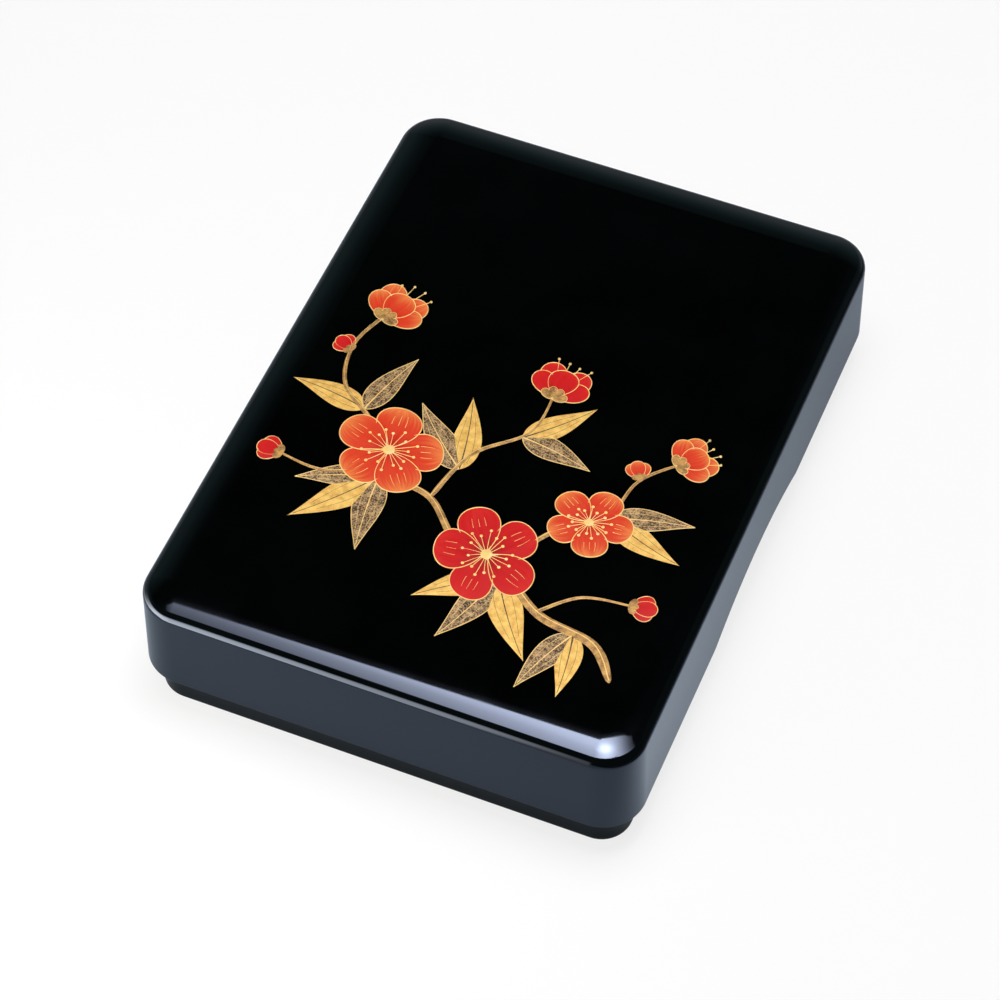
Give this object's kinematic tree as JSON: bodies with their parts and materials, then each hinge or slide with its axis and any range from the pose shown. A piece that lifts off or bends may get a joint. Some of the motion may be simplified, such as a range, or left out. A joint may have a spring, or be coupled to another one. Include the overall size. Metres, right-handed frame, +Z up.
{
  "type": "lacquered document box",
  "caption": "Black lacquered document box for letter paper: round-cornered tray under a crowned overlapping lid with finger notches, which lifts straight off.",
  "frame": {"origin": "middle of the tray's underside, where the box stands on a table", "axes": "+X to the right long side, +Y to the rear along the box's length, +Z up towards the lid"},
  "size_m": [0.241, 0.33, 0.0728],
  "materials": {
    "black_lacquer": "polished black lacquer over a wooden core",
    "bare_wood": "planed, unfinished, hidden in the joints",
    "gold_powder": "sprinkled gold-coloured powder, low relief",
    "red_lacquer": "red and orange lacquer, low relief"
  },
  "bodies": {
    "tray": {"tray_bottom_board": "black_lacquer", "tray_front_wall": "black_lacquer", "tray_rear_wall": "black_lacquer", "tray_left_wall": "black_lacquer", "tray_right_wall": "black_lacquer", "tray_front_left_corner": "black_lacquer", "tray_front_right_corner": "black_lacquer", "tray_rear_left_corner": "black_lacquer", "tray_rear_right_corner": "black_lacquer", "tray_splines": "bare_wood", "tray_pegs": "bare_wood"},
    "lid": {"lid_top_board": "black_lacquer", "lid_front_wall": "black_lacquer", "lid_rear_wall": "black_lacquer", "lid_left_wall": "black_lacquer", "lid_right_wall": "black_lacquer", "lid_front_left_corner": "black_lacquer", "lid_front_right_corner": "black_lacquer", "lid_rear_left_corner": "black_lacquer", "lid_rear_right_corner": "black_lacquer", "lid_splines": "bare_wood"}
  },
  "joints": [
    {"name": "lid_lift", "type": "slide", "parent": "tray", "child": "lid", "axis": [0, 0, 1], "range_m": [0, 0.09]}
  ]
}
